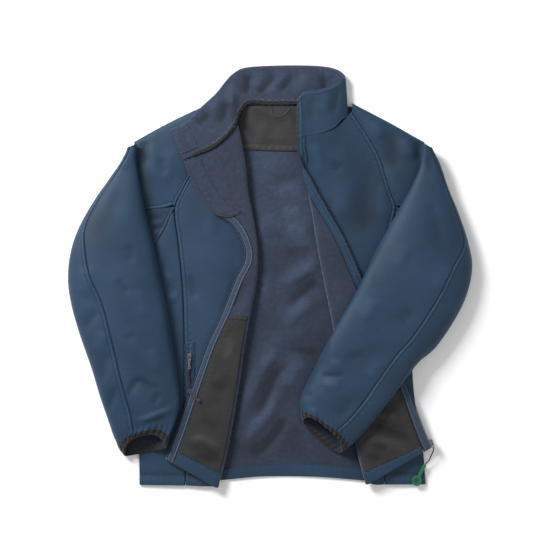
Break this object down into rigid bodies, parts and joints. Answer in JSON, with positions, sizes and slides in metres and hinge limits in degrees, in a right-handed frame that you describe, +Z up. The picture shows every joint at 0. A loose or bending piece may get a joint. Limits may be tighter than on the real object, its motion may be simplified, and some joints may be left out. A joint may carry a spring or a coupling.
{
  "type": "softshell jacket",
  "caption": "Softshell jacket laid flat on its back, half open, fronts turned back to show the fleece inside, raglan sleeves brought down over the fronts.",
  "frame": {"origin": "middle of the laid-out jacket's outline, on the surface that it lies on", "axes": "+X to the wearer's left, +Y from hem toward collar, +Z up from the surface"},
  "size_m": [0.743, 0.7797, 0.0523],
  "materials": {
    "shell": "bonded softshell, fine plain weave, soft matt sheen",
    "fleece": "short brushed fleece, matt",
    "pocketing": "plain woven pocket cloth, slight sheen",
    "binding": "folded woven binding, matt",
    "tape": "woven zip tape, slight sheen",
    "teeth": "moulded zip teeth, satin",
    "metal": "worn silver zip metal",
    "cord": "braided cord and soft cord end, matt",
    "rubber": "soft moulded rubber, satin"
  },
  "bodies": {
    "garment": {"front_centre_r": "shell", "front_centre_l": "shell", "front_side_r": "shell", "front_side_l": "shell", "sleeve_cap_r": "shell", "sleeve_cap_l": "shell", "sleeve_gusset_r": "shell", "sleeve_gusset_l": "shell", "sleeve_top_r": "shell", "sleeve_top_l": "shell", "sleeve_elbow_r": "shell", "sleeve_elbow_l": "shell", "hem_facing_back": "shell", "hem_facing_r": "shell", "hem_facing_l": "shell", "back_panel": "fleece", "collar": "fleece", "chin_guard_r": "fleece", "wind_flap_r": "fleece", "pocket_bag_r": "pocketing", "pocket_bag_l": "pocketing", "back_neck_facing": "pocketing", "back_facing_binding": "binding", "flap_binding_r": "binding", "neck_tape": "binding", "hanger_loop": "binding", "cuff_binding_r": "binding", "cuff_binding_l": "binding", "zip_tape_r": "tape", "zip_tape_l": "tape", "pocket_zip_tape_r": "tape", "zip_teeth_r": "teeth", "zip_teeth_l": "teeth", "pocket_zip_teeth_r": "teeth", "zip_pin_r": "metal", "zip_box_l": "metal", "zip_slider_l": "metal", "pocket_slider_r": "metal"},
    "main_pull": {"zip_pull_tab_l": "metal", "zip_cord_l": "cord", "zip_grip_l": "rubber"},
    "pocket_pull": {"pocket_pull_tab_r": "metal", "pocket_cord_r": "cord", "pocket_grip_r": "cord"}
  },
  "joints": [
    {"name": "main_pull_turn", "type": "hinge", "parent": "garment", "child": "main_pull", "pos_m": [0.29646, -0.30562, 0.01848], "axis": [-0.9033, -0.4285, 0.022], "range_deg": [0, 150]},
    {"name": "pocket_pull_turn", "type": "hinge", "parent": "garment", "child": "pocket_pull", "pos_m": [-0.14827, -0.14788, 0.01456], "axis": [-0.9968, 0.0067, -0.0797], "range_deg": [0, 150]}
  ]
}
